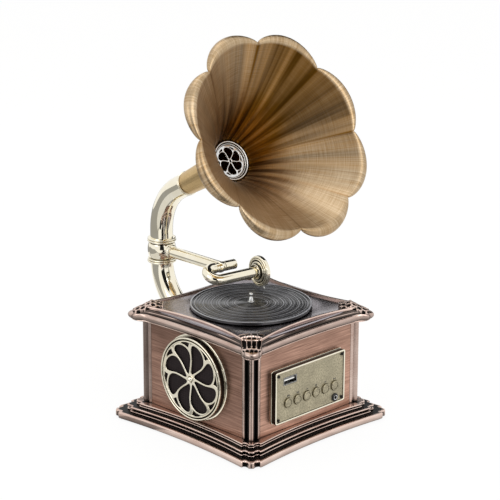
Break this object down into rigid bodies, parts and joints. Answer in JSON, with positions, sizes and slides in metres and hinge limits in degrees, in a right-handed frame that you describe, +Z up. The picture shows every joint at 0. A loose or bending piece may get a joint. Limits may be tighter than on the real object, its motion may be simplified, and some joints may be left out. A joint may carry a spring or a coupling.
{
  "type": "gramophone record player",
  "caption": "Retro gramophone record player: copper-plated cabinet with turntable, tone arm, petal horn on a swan-neck tube, control panel and round speaker grille",
  "frame": {"origin": "on the ground under the middle of the cabinet", "axes": "+Z up, -Y towards the control panel and the side the horn faces, -X towards the loudspeaker grille, +Y towards the tube behind"},
  "size_m": [0.1619, 0.1844, 0.2916],
  "materials": {
    "antique_copper": "antique copper plate on a cast alloy, satin, darkened in its hollows",
    "brushed_copper": "antique copper plate, brushed along the panel",
    "gold_plate": "pale gold plate, mirror polished",
    "horn_brass": "antique brass, brushed and shaded towards the throat",
    "turned_brass": "turned brass, bare",
    "deck_bronze": "dark bronze plate, brushed",
    "sandblasted_bronze": "sandblasted and anodised pale bronze",
    "bright_steel": "bright plated steel",
    "black_steel": "blackened steel",
    "black_vinyl": "grooved black vinyl",
    "black_rubber": "matt black rubber",
    "black_plastic": "moulded black plastic",
    "white_plastic": "moulded white plastic",
    "grille_cloth": "dark woven speaker cloth",
    "circuit_board": "green solder mask"
  },
  "bodies": {
    "cabinet": {"plinth": "antique_copper", "base_plate": "black_plastic", "foot_sheet": "black_rubber", "column_back_right": "antique_copper", "column_back_left": "antique_copper", "column_front_left": "antique_copper", "column_front_right": "antique_copper", "panel_front": "brushed_copper", "panel_left": "brushed_copper", "panel_back": "brushed_copper", "panel_right": "brushed_copper", "cornice": "antique_copper", "deck_plate": "deck_bronze", "spindle_bush": "turned_brass", "drive_belt": "black_rubber", "motor": "bright_steel", "motor_bracket": "black_steel", "lower_tube": "gold_plate", "tube_flange": "gold_plate", "tube_nut": "turned_brass", "pivot_post": "bright_steel", "control_tray": "gold_plate", "control_plate": "sandblasted_bronze", "panel_screw_top_left": "black_steel", "panel_screw_top_right": "black_steel", "panel_screw_bottom_left": "black_steel", "panel_screw_bottom_right": "black_steel", "control_board": "circuit_board", "usb_shell": "bright_steel", "usb_tongue": "white_plastic", "audio_jack": "black_plastic", "speaker_grille": "gold_plate", "speaker_cloth": "grille_cloth", "speaker_driver": "black_steel", "main_board": "circuit_board", "battery": "black_plastic", "power_inlet": "black_plastic"},
    "turntable": {"record": "black_vinyl", "platter": "black_steel", "spindle": "bright_steel", "drive_wheel": "black_plastic"},
    "pulley": {"motor_pulley": "black_plastic"},
    "arm": {"swivel_barrel": "gold_plate", "tone_arm": "gold_plate"},
    "reproducer": {"gooseneck": "gold_plate", "sound_box": "gold_plate", "stylus": "bright_steel"},
    "horn_assembly": {"upper_tube": "gold_plate", "horn_coupling": "gold_plate", "horn": "horn_brass", "throat_grille": "bright_steel"},
    "key_1": {"button_1": "gold_plate"},
    "key_2": {"button_2": "gold_plate"},
    "key_3": {"button_3": "gold_plate"},
    "key_4": {"button_4": "gold_plate"},
    "key_5": {"button_5": "gold_plate"},
    "key_6": {"button_6": "gold_plate"}
  },
  "joints": [
    {"name": "platter_spin", "type": "hinge", "parent": "cabinet", "child": "turntable", "pos_m": [0, 0, 0.0856], "axis": [0, 0, 1], "continuous": true},
    {"name": "motor_spin", "type": "hinge", "parent": "cabinet", "child": "pulley", "pos_m": [0.02771, 0.016, 0.0741], "axis": [0, 0, 1], "continuous": true},
    {"name": "tonearm_swing", "type": "hinge", "parent": "cabinet", "child": "arm", "pos_m": [0, 0.0955, 0.1092], "axis": [0, 0, 1], "range_deg": [-9, 22]},
    {"name": "gooseneck_lift", "type": "hinge", "parent": "arm", "child": "reproducer", "pos_m": [0, 0.0323, 0.1092], "axis": [-0.9877, 0.1564, 0], "range_deg": [0, 150]},
    {"name": "horn_swivel", "type": "hinge", "parent": "cabinet", "child": "horn_assembly", "pos_m": [0, 0.0955, 0.1158], "axis": [0, 0, 1], "range_deg": [-40, 40]},
    {"name": "button_1_press", "type": "slide", "parent": "cabinet", "child": "key_1", "axis": [0, 1, 0], "range_m": [0, 0.0006], "stiffness_N_per_m": 800, "springref_m": -0.0005},
    {"name": "button_2_press", "type": "slide", "parent": "cabinet", "child": "key_2", "axis": [0, 1, 0], "range_m": [0, 0.0006], "stiffness_N_per_m": 800, "springref_m": -0.0005},
    {"name": "button_3_press", "type": "slide", "parent": "cabinet", "child": "key_3", "axis": [0, 1, 0], "range_m": [0, 0.0006], "stiffness_N_per_m": 800, "springref_m": -0.0005},
    {"name": "button_4_press", "type": "slide", "parent": "cabinet", "child": "key_4", "axis": [0, 1, 0], "range_m": [0, 0.0006], "stiffness_N_per_m": 800, "springref_m": -0.0005},
    {"name": "button_5_press", "type": "slide", "parent": "cabinet", "child": "key_5", "axis": [0, 1, 0], "range_m": [0, 0.0006], "stiffness_N_per_m": 800, "springref_m": -0.0005},
    {"name": "button_6_press", "type": "slide", "parent": "cabinet", "child": "key_6", "axis": [0, 1, 0], "range_m": [0, 0.0006], "stiffness_N_per_m": 800, "springref_m": -0.0005}
  ],
  "couplings": [
    {"joint": "motor_spin", "follows": "platter_spin", "ratio": 3.653}
  ]
}
